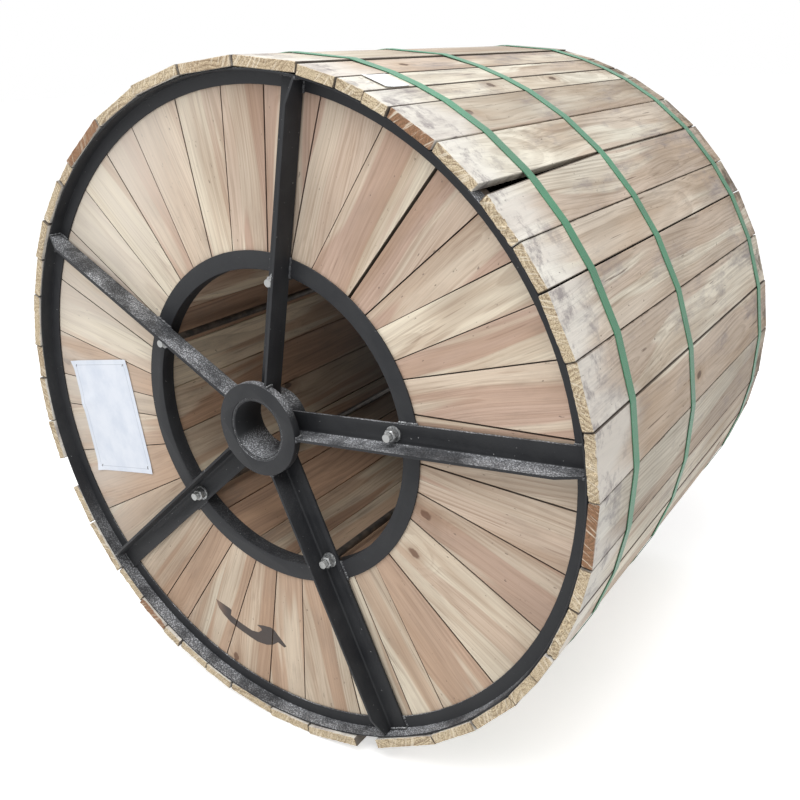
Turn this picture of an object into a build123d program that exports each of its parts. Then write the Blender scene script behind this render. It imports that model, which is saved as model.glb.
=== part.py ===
from build123d import *
import os
from math import cos, degrees, radians, sin, sqrt, tan

# Steel and timber drum of cable with its timber lagging on, in millimetres.
# Every piece is drawn with the drum's axis along Z and the front flange on top. The drum is then
# laid down, so that the front flange faces -Y and the lowest batten is level.
# Angles are in degrees round the axis, seen from the front: 0 is to the right and 90 is up.

# Clearances
seat = 0.2               # between round faces that are welded or seated on each other
timber_gap = 1.2         # between neighbouring boards, staves or battens

# Rolled steel angles of each flange
rim_r = 525              # outside of the rim, which carries the battens
rim_leg = 22             # width of the rim's flat leg
rim_lip = 21             # how far the rim's round leg stands out past the flat leg
ring_inner_r = 240       # inside of the inner ring's round leg
ring_leg = 28            # width of the inner ring's flat leg
ring_t = 3               # thickness of both rolled angles

# Spokes of equal angle iron, one leg flat on the rings and one standing
spoke_angles = [4.5, 79, 151, 221, 293]
spoke_leg = 35
spoke_t = 4
spoke_root = 3           # radius in the root of the angle iron
spoke_heel = 11          # from the radial line to the back of the standing leg
spoke_bevel = 34         # length of the sloped cut at the rim end of the standing leg

# Hub
pipe_outer_r = 50
pipe_wall = 5
pipe_length = 60
pipe_recess = 1.5        # behind the front of the hub plate, for the weld
plate_r = 74
plate_t = 14
plate_proud = 2          # past the standing legs of the spokes

# Tie rods between the flanges
rod_r = 6
rod_to_ring = 3          # from a rod to the inner ring
rod_stub = 7             # thread past the nut
washer_r = 12
washer_t = 2.5
nut_flats = 18
nut_t = 10.8

# Timber
inner_width = 750        # between the two flanges
board_t = 22
stave_count = 20
stave_t = 20
stave_to_ring = 2        # from the round leg of the inner ring to the staves
first_stave_seam = -1
batten_t = 15
batten_ease = 2          # sloped edge along each batten
batten_overhang = 1      # least length of batten past the rim
end_steps = [0, 3, 5, 1, 2]

# Seams between flange boards, each as its angle at the rim and its angle at the inner ring
board_seams = [
    (7.5, 13.5), (19.5, 24.5), (28, 30), (34.5, 41.5), (43, 46.5), (52, 53.5), (62.5, 70),
    (74.5, 77.5), (86, 86.5), (95, 102.5), (106, 112.5), (118.5, 122), (127.5, 130),
    (137.5, 139.5), (147.5, 150), (159, 162.5), (170.5, 173), (180, 181.5), (186.5, 189),
    (197, 200), (210.5, 213.5), (222.5, 224.5), (233, 234), (239.5, 245), (251, 256.5),
    (262.5, 265.5), (271.5, 277.5), (285, 288.5), (297.5, 301.5), (305, 313.5), (318.5, 320),
    (333.5, 337.5), (345.5, 347.5), (356.5, 357),
]

# Seams between battens, and the seams that are followed by a bare stretch of rim
batten_seams = [
    0, 10, 19.5, 29, 36, 43.5, 45, 53, 61, 65.5, 70.5, 77.5, 89.5, 100.5, 111.5, 122.5, 134,
    138.5, 147.5, 155.5, 163.5, 174, 180.5, 189.5, 197.5, 203.5, 211.5, 222.5, 230, 237.5,
    242, 249, 255.5, 265.5, 274.5, 285.5, 289.5, 302.5, 312, 322, 328.5, 333.5, 343, 350,
]
bare_after = [43.5, 197.5, 285.5]

# Cable
cable_to_rim = 45        # from the outside of the cable to the outside of the rim

# Straps round the lagging, and papers
strap_width = 19
strap_t = 1
strap_slack = 0.2        # between the straps and the battens they bear on
strap_places = {"front": 125, "middle": 374, "back": 790}    # from the front rim
paper_t = 0.3
paper_gap = 0.1
sheet_size = (148, 210)
sheet_angle = 189.3      # the sheet's middle is at this angle
sheet_share = 0.52       # and this share of the way from the inner ring to the rim
sheet_turn = 9
tag_size = (42, 56)
tag_angle = 68           # the tag lies on the batten at this angle
tag_to_strap = 12

# Heights along the axis, from the middle of the drum
board_back = inner_width / 2
board_face = board_back + board_t
ring_face = board_face + ring_t
lip_face = ring_face + rim_lip
spoke_face = ring_face + spoke_t
spoke_top = ring_face + spoke_leg
plate_face = spoke_top + plate_proud
plate_back = plate_face - plate_t
washer_face = spoke_face + washer_t
nut_face = washer_face + nut_t
rod_half = nut_face + rod_stub

# Radii and offsets that follow
rim_edge = rim_r - rim_leg
ring_outer_r = ring_inner_r + ring_leg
cable_outer_r = rim_r - cable_to_rim
spoke_edge = spoke_leg - spoke_heel
spoke_end = sqrt((rim_r - ring_t - seat) ** 2 - spoke_edge ** 2)
rod_across = (spoke_t + spoke_leg) / 2 - spoke_heel
rod_along = sqrt((ring_inner_r - rod_to_ring - rod_r) ** 2 - rod_across ** 2)
stave_in = ring_inner_r + ring_t + stave_to_ring
stave_out = stave_in + stave_t
stave_step = 360 / stave_count
batten_in = rim_r + seat
batten_out = batten_in + batten_t


def polar(radius, angle):
    return (radius * cos(radians(angle)), radius * sin(radians(angle)))


def prism(points, bottom, top):
    outline = make_face(Polyline(*points, close=True))
    return Pos(0, 0, bottom) * extrude(outline, top - bottom)


def turned(points):
    # points are (radius, height) pairs
    return revolve(Plane.XZ * make_face(Polyline(*points, close=True)), Axis.Z)


def tube(inner, outer, bottom, top):
    return turned([(inner, bottom), (outer, bottom), (outer, top), (inner, top)])


def rim_ring():
    lip_in = rim_r - ring_t
    return turned([
        (rim_edge, board_face), (rim_r, board_face), (rim_r, lip_face),
        (lip_in, lip_face), (lip_in, ring_face), (rim_edge, ring_face),
    ])


def inner_ring():
    leg_out = ring_inner_r + ring_t
    return turned([
        (ring_inner_r, board_back), (leg_out, board_back), (leg_out, board_face),
        (ring_outer_r, board_face), (ring_outer_r, ring_face), (ring_inner_r, ring_face),
    ])


def hub_pipe():
    front = plate_face - pipe_recess
    return tube(pipe_outer_r - pipe_wall, pipe_outer_r, front - pipe_length, front)


def hub_plate():
    return tube(pipe_outer_r + seat, plate_r, plate_back, plate_face)


def spoke():
    # drawn along +X, with the standing leg on its clockwise side
    section = make_face(Polyline(
        (-spoke_heel, ring_face), (spoke_edge, ring_face), (spoke_edge, spoke_face),
        (spoke_t - spoke_heel, spoke_face), (spoke_t - spoke_heel, spoke_top),
        (-spoke_heel, spoke_top), close=True))
    root = section.vertices().sort_by_distance((spoke_t - spoke_heel, spoke_face))[0]
    bar = extrude(Plane.YZ * fillet(root, spoke_root), spoke_end)
    side = make_face(Polyline(
        (0, ring_face), (spoke_end, ring_face), (spoke_end, lip_face),
        (spoke_end - spoke_bevel, spoke_top), (0, spoke_top), close=True))
    bar = bar & extrude(Plane.XZ * side, spoke_leg, both=True)
    bar -= Pos(0, 0, ring_face) * Cylinder(pipe_outer_r + seat, 3 * spoke_leg)
    under_plate = plate_back - seat
    bar -= Pos(0, 0, under_plate) * Cylinder(
        plate_r + seat, spoke_leg, align=(Align.CENTER, Align.CENTER, Align.MIN))
    bar -= Pos(rod_along, rod_across, spoke_face) * Cylinder(rod_r + 1, 3 * spoke_t)
    return bar


def flange_boards():
    boards = []
    bearing_r = ring_inner_r + ring_t + seat
    outer_r = rim_r - ring_t
    gap_out = degrees(timber_gap / 2 / outer_r)
    gap_in = degrees(timber_gap / 2 / bearing_r)
    following = board_seams[1:] + [(360 + board_seams[0][0], 360 + board_seams[0][1])]
    for (rim_start, ring_start), (rim_stop, ring_stop) in zip(board_seams, following):
        inner_r = bearing_r / cos(radians((ring_stop - ring_start) / 2))
        boards.append(prism([
            polar(outer_r, rim_start + gap_out), polar(outer_r, rim_stop - gap_out),
            polar(inner_r, ring_stop - gap_in), polar(inner_r, ring_start + gap_in),
        ], board_back, board_face))
    return boards


def barrel_staves():
    half_in = stave_in * tan(radians(stave_step / 2)) - timber_gap / 2
    half_out = stave_out * tan(radians(stave_step / 2)) - timber_gap / 2
    stave = prism([
        (stave_in, -half_in), (stave_out, -half_out), (stave_out, half_out), (stave_in, half_in),
    ], -board_back, board_back)
    middle = first_stave_seam + stave_step / 2
    return [Rot(0, 0, middle + i * stave_step) * stave for i in range(stave_count)]


def cable_winding():
    bore_r = stave_out / cos(radians(stave_step / 2)) + seat
    return tube(bore_r, cable_outer_r, seat - board_back, board_back - seat)


def batten_spans():
    following = batten_seams[1:] + [360 + batten_seams[0]]
    return [span for span in zip(batten_seams, following) if span[0] not in bare_after]


def batten_section(start, stop):
    half = batten_in * tan(radians((stop - start) / 2)) - timber_gap / 2
    return Rot(0, 0, (start + stop) / 2) * make_face(Polyline(
        (batten_in, -half), (batten_out - batten_ease, -half),
        (batten_out, batten_ease - half), (batten_out, half - batten_ease),
        (batten_out - batten_ease, half), (batten_in, half), close=True))


def lagging_battens():
    battens = []
    for i, (start, stop) in enumerate(batten_spans()):
        front = lip_face + batten_overhang + end_steps[i % len(end_steps)]
        back = -lip_face - batten_overhang - end_steps[(i + 2) % len(end_steps)]
        battens.append(Pos(0, 0, back) * extrude(batten_section(start, stop), front - back))
    return battens


def strap():
    # a taut band goes straight from corner to corner of the battens
    sections = [batten_section(start, stop) for start, stop in batten_spans()]
    taut = make_hull([edge for section in sections for edge in section.edges()])
    inside = offset(taut, strap_slack, kind=Kind.INTERSECTION)
    outside = offset(taut, strap_slack + strap_t, kind=Kind.INTERSECTION)
    return Pos(0, 0, -strap_width / 2) * extrude(outside - inside, strap_width)


def tie_rod():
    return Pos(rod_along, rod_across, 0) * Cylinder(rod_r, 2 * rod_half)


def rod_washer():
    return Pos(rod_along, rod_across, 0) * tube(rod_r + seat, washer_r, spoke_face, washer_face)


def rod_nut():
    outline = RegularPolygon(nut_flats / 2, 6, major_radius=False) - Circle(rod_r + seat)
    return Pos(rod_along, rod_across, washer_face) * extrude(outline, nut_t)


def label_sheet():
    centre_r = ring_outer_r + sheet_share * (rim_edge - ring_outer_r)
    centre = Pos(*polar(centre_r, sheet_angle), board_face + paper_gap)
    return centre * Rot(0, 0, sheet_turn) * extrude(Rectangle(*sheet_size), paper_t)


def paper_tag():
    start, stop = [span for span in batten_spans() if span[0] < tag_angle < span[1]][0]
    strap_edge = lip_face - strap_places["front"] + strap_width / 2
    across, along = tag_size
    tag = Box(paper_t, across, along, align=(Align.MIN, Align.CENTER, Align.MIN))
    tag = Pos(batten_out + paper_gap, 0, strap_edge + tag_to_strap) * tag
    return Rot(0, 0, (start + stop) / 2) * tag


def save(name, pieces):
    solids = pieces if isinstance(pieces, list) else [pieces]
    laid = [Plane.XZ.location * solid for solid in solids]
    shape = laid[0] if len(laid) == 1 else Compound(children=laid)
    export_step(shape, f"parts/{name}.step")


def at_back(piece):
    return mirror(piece, Plane.XY)


os.makedirs("parts", exist_ok=True)

flange_pieces = {
    "rim_ring": rim_ring(),
    "inner_ring": inner_ring(),
    "hub_pipe": hub_pipe(),
    "hub_plate": hub_plate(),
}
for number, angle in enumerate(spoke_angles, 1):
    flange_pieces[f"spoke_{number}"] = Rot(0, 0, angle) * spoke()
for name, piece in flange_pieces.items():
    save(f"front_{name}", piece)
    save(f"back_{name}", at_back(piece))

boards = flange_boards()
save("front_flange_boards", boards)
save("back_flange_boards", [at_back(board) for board in boards])

nuts = [Rot(0, 0, angle) * rod_nut() for angle in spoke_angles]
washers = [Rot(0, 0, angle) * rod_washer() for angle in spoke_angles]
save("tie_rods", [Rot(0, 0, angle) * tie_rod() for angle in spoke_angles])
save("tie_rod_nuts", nuts + [at_back(nut) for nut in nuts])
save("tie_rod_washers", washers + [at_back(washer) for washer in washers])

save("barrel_staves", barrel_staves())
save("cable_winding", cable_winding())
save("lagging_battens", lagging_battens())
band = strap()
for name, from_front in strap_places.items():
    save(f"{name}_strap", Pos(0, 0, lip_face - from_front) * band)
save("label_sheet", label_sheet())
save("paper_tag", paper_tag())
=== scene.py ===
import math
import random

import bpy
from mathutils import Matrix, Vector


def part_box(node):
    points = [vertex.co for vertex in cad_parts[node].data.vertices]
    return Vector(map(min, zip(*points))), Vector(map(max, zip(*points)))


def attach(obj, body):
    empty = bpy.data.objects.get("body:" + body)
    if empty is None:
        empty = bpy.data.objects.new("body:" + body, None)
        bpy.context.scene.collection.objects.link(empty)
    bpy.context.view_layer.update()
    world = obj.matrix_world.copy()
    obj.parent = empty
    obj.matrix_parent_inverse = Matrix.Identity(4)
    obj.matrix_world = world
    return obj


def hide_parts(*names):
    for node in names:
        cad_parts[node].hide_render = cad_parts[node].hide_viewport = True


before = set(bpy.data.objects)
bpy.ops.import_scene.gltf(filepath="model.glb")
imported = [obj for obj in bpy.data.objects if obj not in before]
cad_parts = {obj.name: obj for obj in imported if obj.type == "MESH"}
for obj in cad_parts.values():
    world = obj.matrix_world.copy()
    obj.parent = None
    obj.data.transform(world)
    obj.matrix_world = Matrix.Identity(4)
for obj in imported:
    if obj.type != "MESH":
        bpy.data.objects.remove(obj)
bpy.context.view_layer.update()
print("frame loaded:", len(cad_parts), "nodes")


# selection, copies and joins

def clearSelection():
    if bpy.context.object and bpy.context.object.mode != "OBJECT":
        bpy.ops.object.mode_set(mode="OBJECT")
    bpy.ops.object.select_all(action="DESELECT")


def makeActive(piece):
    clearSelection()
    piece.select_set(True)
    bpy.context.view_layer.objects.active = piece


def editAll(piece):
    makeActive(piece)
    bpy.ops.object.mode_set(mode="EDIT")
    bpy.ops.mesh.select_all(action="SELECT")


def leaveEdit():
    bpy.ops.object.mode_set(mode="OBJECT")


def placeIntoMesh(piece):
    makeActive(piece)
    bpy.ops.object.transform_apply(location=True, rotation=True, scale=True)


def applyModifier(piece, kind, **options):
    makeActive(piece)
    modifier = piece.modifiers.new(kind.lower(), kind)
    for key, value in options.items():
        setattr(modifier, key, value)
    bpy.ops.object.modifier_apply(modifier=modifier.name)


def bevelEdges(piece, width, segments, degrees):
    applyModifier(piece, "BEVEL", width=width, segments=segments, limit_method="ANGLE",
                  angle_limit=math.radians(degrees))


def smoothPiece(piece, degrees):
    makeActive(piece)
    bpy.ops.object.shade_smooth_by_angle(angle=math.radians(degrees))


# turns, scales and moves the mesh, and leaves the object at the origin

def moveMesh(piece, turn=(0, 0, 0), to=(0, 0, 0), scale=(1, 1, 1)):
    piece.rotation_euler, piece.location, piece.scale = turn, to, scale
    placeIntoMesh(piece)


def newSheet(columns, rows, size):
    clearSelection()
    bpy.ops.mesh.primitive_grid_add(x_subdivisions=columns, y_subdivisions=rows, size=1)
    sheet = bpy.context.object
    moveMesh(sheet, scale=(*size, 1))
    return sheet


def joinPieces(pieces, name):
    clearSelection()
    for piece in pieces:
        piece.select_set(True)
    bpy.context.view_layer.objects.active = pieces[0]
    if len(pieces) > 1:
        bpy.ops.object.join()
    whole = bpy.context.object
    whole.name = name
    whole.data.name = name
    return whole


def twinOf(piece):
    twin = piece.copy()
    twin.data = piece.data.copy()
    bpy.context.scene.collection.objects.link(twin)
    return twin


def mergedCopy(node, name):
    closest, flattest = 0.00002, 0.5        # metres apart, and degrees from flat
    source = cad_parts[node]
    piece = bpy.data.objects.new(name, source.data.copy())
    bpy.context.scene.collection.objects.link(piece)
    makeActive(piece)
    bpy.ops.mesh.customdata_custom_splitnormals_clear()
    editAll(piece)
    bpy.ops.mesh.remove_doubles(threshold=closest)
    bpy.ops.mesh.dissolve_limited(angle_limit=math.radians(flattest))
    leaveEdit()
    return piece


def looseParts(piece):
    editAll(piece)
    bpy.ops.mesh.separate(type="LOOSE")
    leaveEdit()
    parts = list(bpy.context.selected_objects)
    return sorted(parts, key=lambda part: round(angleOf(middleOf(part)), 3))


def middleOf(piece):
    total = Vector((0, 0, 0))
    for vertex in piece.data.vertices:
        total += vertex.co
    return total / len(piece.data.vertices)


def angleOf(place):
    return math.atan2(place.z, place.x) % (2 * math.pi)


def finishPiece(piece, material, slot, *nodes):
    piece.data.materials.clear()
    piece.data.materials.append(material)
    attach(piece, "root")
    if nodes:
        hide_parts(*nodes)


# shader helpers

def tint(red, green, blue):
    values = []
    for part in (red, green, blue):
        part = part / 255
        values.append(part / 12.92 if part <= 0.04045 else ((part + 0.055) / 1.055) ** 2.4)
    return (*values, 1)


def feed(tree, socket, value):
    if isinstance(value, bpy.types.NodeSocket):
        tree.links.new(value, socket)
    else:
        socket.default_value = value


def addNode(tree, kind, options=None, **inputs):
    node = tree.nodes.new(kind)
    for key, value in (options or {}).items():
        setattr(node, key, value)
    for key, value in inputs.items():
        feed(tree, node.inputs[key], value)
    return node


def doMath(tree, operation, *values, kind="ShaderNodeMath"):
    node = tree.nodes.new(kind)
    node.operation = operation
    for socket, value in zip(node.inputs, values):
        feed(tree, socket, value)
    return node.outputs[0]


def doVector(tree, operation, *values):
    return doMath(tree, operation, *values, kind="ShaderNodeVectorMath")


def times(tree, first, second):
    return doMath(tree, "MULTIPLY", first, second)


def objectSpot(tree):
    return addNode(tree, "ShaderNodeTexCoord").outputs["Object"]


def split(tree, vector):
    return addNode(tree, "ShaderNodeSeparateXYZ", Vector=vector).outputs


def mixColours(tree, amount, first, second, blend="MIX"):
    node = tree.nodes.new("ShaderNodeMix")
    node.data_type = "RGBA"
    node.blend_type = blend
    for index, value in ((0, amount), (6, first), (7, second)):
        feed(tree, node.inputs[index], value)
    return node.outputs[2]


def layer(tree, colour, mask, share, over):
    return mixColours(tree, times(tree, mask, share), colour, over)


def remap(tree, value, low, high, toLow=0.0, toHigh=1.0, smooth=True):
    node = tree.nodes.new("ShaderNodeMapRange")
    node.interpolation_type = "SMOOTHSTEP" if smooth else "LINEAR"
    for name, part in (("Value", value), ("From Min", low), ("From Max", high),
                       ("To Min", toLow), ("To Max", toHigh)):
        feed(tree, node.inputs[name], part)
    return node.outputs[0]


def noise(tree, place, scale, detail=3.0, rough=0.55, output=0):
    if isinstance(scale, tuple):        # stretched along the grain
        place, scale = doVector(tree, "MULTIPLY", place, scale), 1.0
    node = addNode(tree, "ShaderNodeTexNoise", Vector=place, Scale=scale, Detail=detail, Roughness=rough)
    return node.outputs[output]


def newGroup(name, inputs, outputs):
    tree = bpy.data.node_groups.new(name, "ShaderNodeTree")
    kinds = {"v": "NodeSocketVector", "f": "NodeSocketFloat", "c": "NodeSocketColor"}
    for title, kind in inputs:
        tree.interface.new_socket(name=title, in_out="INPUT", socket_type=kinds[kind])
    for title, kind in outputs:
        tree.interface.new_socket(name=title, in_out="OUTPUT", socket_type=kinds[kind])
    return tree, tree.nodes.new("NodeGroupInput").outputs, tree.nodes.new("NodeGroupOutput").inputs


def useGroup(tree, group, **inputs):
    node = tree.nodes.new("ShaderNodeGroup")
    node.node_tree = group
    for key, value in inputs.items():
        feed(tree, node.inputs[key], value)
    return node.outputs


def newMaterial(name):
    material = bpy.data.materials.new(name)
    material.use_nodes = True
    tree = material.node_tree
    return material, tree, tree.nodes["Principled BSDF"]


def dress(tree, shader, colour, rough, relief, depth, height):
    bump = addNode(tree, "ShaderNodeBump", Strength=relief, Distance=depth, Height=height)
    for name, value in (("Base Color", colour), ("Roughness", rough), ("Normal", bump.outputs[0])):
        feed(tree, shader.inputs[name], value)


# timber: the marks of a log, at a place given along each board

def buildGrain():
    marks = ("Rings", "Fibres", "Heart", "Knot", "Halo", "Streaks", "Bands", "Lines", "Cracks")
    tree, given, out = newGroup(
        "boardGrain",
        [("Place", "v"), ("Ring Spacing", "f"), ("Heart Radius", "f"), ("Knots", "f")],
        [(mark, "f") for mark in marks])
    place = given["Place"]
    sway = noise(tree, place, (5.0, 1.7, 5.0), 2.0, output="Color")
    sway = doVector(tree, "SUBTRACT", sway, (0.5, 0.5, 0.5))
    bent = doVector(tree, "ADD", place, doVector(tree, "MULTIPLY", sway, (0.055, 0.0, 0.055)))

    # knots lie in a few cells of a flat pattern, and push the rings aside
    crooked = noise(tree, place, (60.0, 60.0, 60.0), 2.0, 0.6, "Color")
    crooked = doVector(tree, "SUBTRACT", crooked, (0.5, 0.5, 0.5))
    crooked = doVector(tree, "MULTIPLY", crooked, (0.09, 0.09, 0.09))
    cellPlace = doVector(tree, "ADD", doVector(tree, "MULTIPLY", place, (12.0, 6.5, 2.0)), crooked)
    cells = addNode(tree, "ShaderNodeTexVoronoi", {"feature": "F1", "voronoi_dimensions": "2D"},
                    Vector=cellPlace, Scale=1.0, Randomness=1.0).outputs
    picked = addNode(tree, "ShaderNodeSeparateColor", Color=cells["Color"]).outputs[0]
    picked = doMath(tree, "LESS_THAN", picked, given["Knots"])
    near = times(tree, remap(tree, cells["Distance"], 0.36, 0.05), picked)

    # growth rings run round the middle of the log, at uneven distances
    sides = split(tree, bent)
    squares = [doMath(tree, "POWER", sides[index], 2.0) for index in (0, 2)]
    reach = doMath(tree, "SQRT", doMath(tree, "ADD", *squares))
    swirl = doMath(tree, "MULTIPLY_ADD", near, 0.013, reach)
    uneven = addNode(tree, "ShaderNodeTexNoise", {"noise_dimensions": "1D"}, W=times(tree, swirl, 70.0),
                     Scale=1.0, Detail=2.0).outputs[0]
    swirl = doMath(tree, "MULTIPLY_ADD", uneven, 0.012, swirl)
    turn = doMath(tree, "FRACT", doMath(tree, "DIVIDE", swirl, given["Ring Spacing"]))
    late = times(tree, remap(tree, turn, 0.25, 0.88), remap(tree, turn, 1.0, 0.93))
    patches = noise(tree, place, (14.0, 1.5, 14.0), 2.0)
    edge = doMath(tree, "SUBTRACT", given["Heart Radius"], reach)

    masks = {
        "Rings": times(tree, late, remap(tree, patches, 0.36, 0.62, 0.25, 1.0)),
        "Fibres": noise(tree, bent, (620.0, 7.0, 620.0), 4.0, 0.6),
        "Heart": remap(tree, edge, -0.0012, 0.0018),
        "Knot": times(tree, remap(tree, cells["Distance"], 0.085, 0.05), picked),
        "Halo": doMath(tree, "POWER", near, 2.0),
        "Streaks": remap(tree, noise(tree, bent, (120.0, 1.8, 120.0), 3.0, 0.65), 0.53, 0.74),
        "Bands": remap(tree, noise(tree, bent, (15.0, 0.8, 15.0), 2.0, 0.45), 0.490, 0.520),
        "Lines": remap(tree, noise(tree, bent, (330.0, 2.6, 330.0), 2.0, 0.5), 0.54, 0.66),
        "Cracks": remap(tree, noise(tree, bent, (170.0, 5.0, 170.0), 2.0, 0.5), 0.690, 0.735),
    }
    for mark in marks:
        feed(tree, out[mark], masks[mark])
    return tree


# timber: grey smudges, scuffs and dark specks on weathered boards

def buildGrime():
    tree, given, out = newGroup(
        "timberGrime",
        [("Colour", "c"), ("Place", "v"), ("Amount", "f"), ("Smudge", "c")],
        [("Colour", "c")])
    place = given["Place"]
    stain = remap(tree, noise(tree, place, (16.0, 5.5, 16.0), 6.0, 0.68), 0.50, 0.72)
    streak = noise(tree, place, (150.0, 22.0, 150.0), 3.0, 0.7)
    stain = times(tree, stain, remap(tree, streak, 0.30, 0.62, 0.35, 1.0))
    specks = remap(tree, noise(tree, place, (230.0, 90.0, 230.0), 2.0, 0.5), 0.715, 0.76)
    colour = layer(tree, given["Colour"], stain, given["Amount"], given["Smudge"])
    feed(tree, out["Colour"], layer(tree, colour, specks, 0.6, tint(82, 70, 62)))
    return tree


# steel: rough brushed paint, with pale dust and a painted sheen on the faces that look up

def buildPaintWearAndSheen():
    tree, given, out = newGroup(
        "paintWearAndSheen",
        [("Place", "v"), ("Up", "f"), ("Colour", "c"), ("Dust Sheen Colour", "c"), ("Dust", "f")],
        [("Colour", "c"), ("Roughness", "f"), ("Height", "f")])
    place = given["Place"]
    grit = noise(tree, place, 470.0, 2.0, 0.6)
    patch = noise(tree, place, 16.0, 4.0, 0.6)
    # pale dust on the faces that look up, in part a painted sheen of light falling from above
    dustSheen = doMath(tree, "MULTIPLY_ADD", remap(tree, grit, 0.52, 0.59), 0.78, 0.20)
    dustSheen = times(tree, dustSheen, remap(tree, patch, 0.36, 0.62, 0.22, 1.0))
    dustSheen = times(tree, times(tree, dustSheen, remap(tree, given["Up"], 0.35, 0.80)), given["Dust"])
    tone = mixColours(tree, remap(tree, patch, 0.35, 0.70), given["Colour"], tint(44, 45, 47))
    chips = remap(tree, noise(tree, place, 190.0, 3.0, 0.6), 0.715, 0.74)
    tone = layer(tree, tone, chips, 0.8, tint(170, 170, 170))
    feed(tree, out["Colour"], mixColours(tree, dustSheen, tone, given["Dust Sheen Colour"]))
    feed(tree, out["Roughness"], remap(tree, patch, 0.3, 0.7, 0.50, 0.66, False))
    peel = noise(tree, place, 240.0, 3.0, 0.6)
    feed(tree, out["Height"], doMath(tree, "ADD", peel, times(tree, grit, 0.5)))
    return tree


grain = buildGrain()
grime = buildGrime()
paintWearAndSheen = buildPaintWearAndSheen()
print("node groups built")


# timber finishes

def timberMaterial(name, look):
    material, tree, shader = newMaterial(name)
    place = addNode(tree, "ShaderNodeAttribute", {"attribute_name": "grainPlace"}).outputs["Vector"]
    tone = addNode(tree, "ShaderNodeAttribute", {"attribute_name": "boardTone"}).outputs["Fac"]
    marks = useGroup(tree, grain, **{
        "Place": place, "Ring Spacing": look["ringSpacing"],
        "Heart Radius": look["heartRadius"], "Knots": look["knots"]})
    spot = addNode(tree, "ShaderNodeTexCoord").outputs
    sides = split(tree, spot["Object"])
    facing = doMath(tree, "ABSOLUTE", split(tree, spot["Normal"])[1])

    # heartwood is rosier toward the upper right
    corner = doMath(tree, "MULTIPLY_ADD", sides[0], 0.6, times(tree, sides[2], 0.8))
    heart = mixColours(tree, remap(tree, corner, -0.20, 0.25), look["heartwood"], look["rosy"])
    colour = mixColours(tree, marks["Heart"], look["sapwood"], heart)
    banded = mixColours(tree, marks["Heart"], heart, look["sapwood"])
    drift = noise(tree, place, (20.0, 2.4, 20.0), 3.0)
    for mask, share, over in (
            (marks["Bands"], look["bands"], banded),
            (remap(tree, drift, 0.38, 0.72), look["drift"], look["brown"]),
            (marks["Halo"], 0.55, look["brown"]),
            (marks["Streaks"], look["streaks"], look["late"]),
            (marks["Rings"], look["rings"], look["late"]),
            (marks["Lines"], look["lines"], look["late"])):
        colour = layer(tree, colour, mask, share, over)

    # brightness: by the fibre, by the board and in broad patches
    shade = remap(tree, marks["Fibres"], 0.3, 0.7, 1 - look["fibres"], 1 + look["fibres"], False)
    shade = times(tree, shade, remap(tree, tone, 0.0, 1.0, look["darkest"], look["palest"], False))
    patches = noise(tree, place, (9.0, 5.0, 9.0), 1.0, 0.4)
    shade = times(tree, shade, remap(tree, patches, 0.40, 0.60, 0.93, 1.05))
    grey = addNode(tree, "ShaderNodeCombineColor", Red=shade, Green=shade, Blue=shade).outputs[0]
    colour = mixColours(tree, 1.0, colour, grey, "MULTIPLY")
    colour = layer(tree, colour, marks["Cracks"], look["cracks"], look["knot"])
    colour = layer(tree, colour, marks["Knot"], 0.8, look["knot"])

    if look["weathered"]:
        colour = weatherEnds(tree, colour, spot["Object"], sides[1], drift, look)
    colour = useGroup(tree, grime, Colour=colour, Place=place, Amount=look["grime"],
                      Smudge=look["smudge"])["Colour"]
    if look["weathered"]:
        ends = cutEnds(tree, place, tone, marks, look)
        colour = mixColours(tree, remap(tree, facing, 0.45, 0.75), colour, ends)
        colour = darkSides(tree, colour, spot["Object"], look)
    else:
        colour = dustSeamsAndDeepShade(tree, colour, sides, facing, drift, look)

    rough = remap(tree, marks["Fibres"], 0.2, 0.8, look["rough"] - 0.08, look["rough"] + 0.08, False)
    relief = doMath(tree, "MULTIPLY_ADD", marks["Rings"], 0.4, marks["Fibres"])
    relief = doMath(tree, "SUBTRACT", relief, times(tree, marks["Knot"], 0.6))
    shader.inputs["Specular IOR Level"].default_value = 0.3
    dress(tree, shader, colour, rough, look["relief"], 0.0006, relief)
    return material


# the long sides of the battens are dark in uneven stretches

def darkSides(tree, colour, spot, look):
    side = addNode(tree, "ShaderNodeAttribute", {"attribute_name": "boardEdge"}).outputs["Fac"]
    uneven = noise(tree, spot, 38.0, 4.0, 0.65)
    side = doMath(tree, "MULTIPLY_ADD", uneven, 0.5, doMath(tree, "SUBTRACT", side, 0.25))
    return layer(tree, colour, remap(tree, side, 0.62, 0.92), look["seams"], tint(66, 54, 44))


# dust at the upper left, dark seams, and painted shade deep inside the barrel

def dustSeamsAndDeepShade(tree, colour, sides, facing, drift, look):
    corner = doMath(tree, "MULTIPLY_ADD", sides[2], 0.35, times(tree, sides[0], -1.0))
    dusty = times(tree, remap(tree, corner, 0.18, 0.42), remap(tree, drift, 0.30, 0.60, 0.25, 1.0))
    colour = layer(tree, colour, dusty, look["dusty"], tint(220, 214, 204))
    colour = layer(tree, colour, remap(tree, facing, 0.80, 0.40), look["seams"], tint(54, 43, 36))
    # painted shade: the staves turn darker the deeper they lie inside the barrel
    return layer(tree, colour, remap(tree, sides[1], -0.16, 0.26), look["deep"], tint(44, 38, 35))


# the front ends are bleached and smudged, the back ends are soiled

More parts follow.
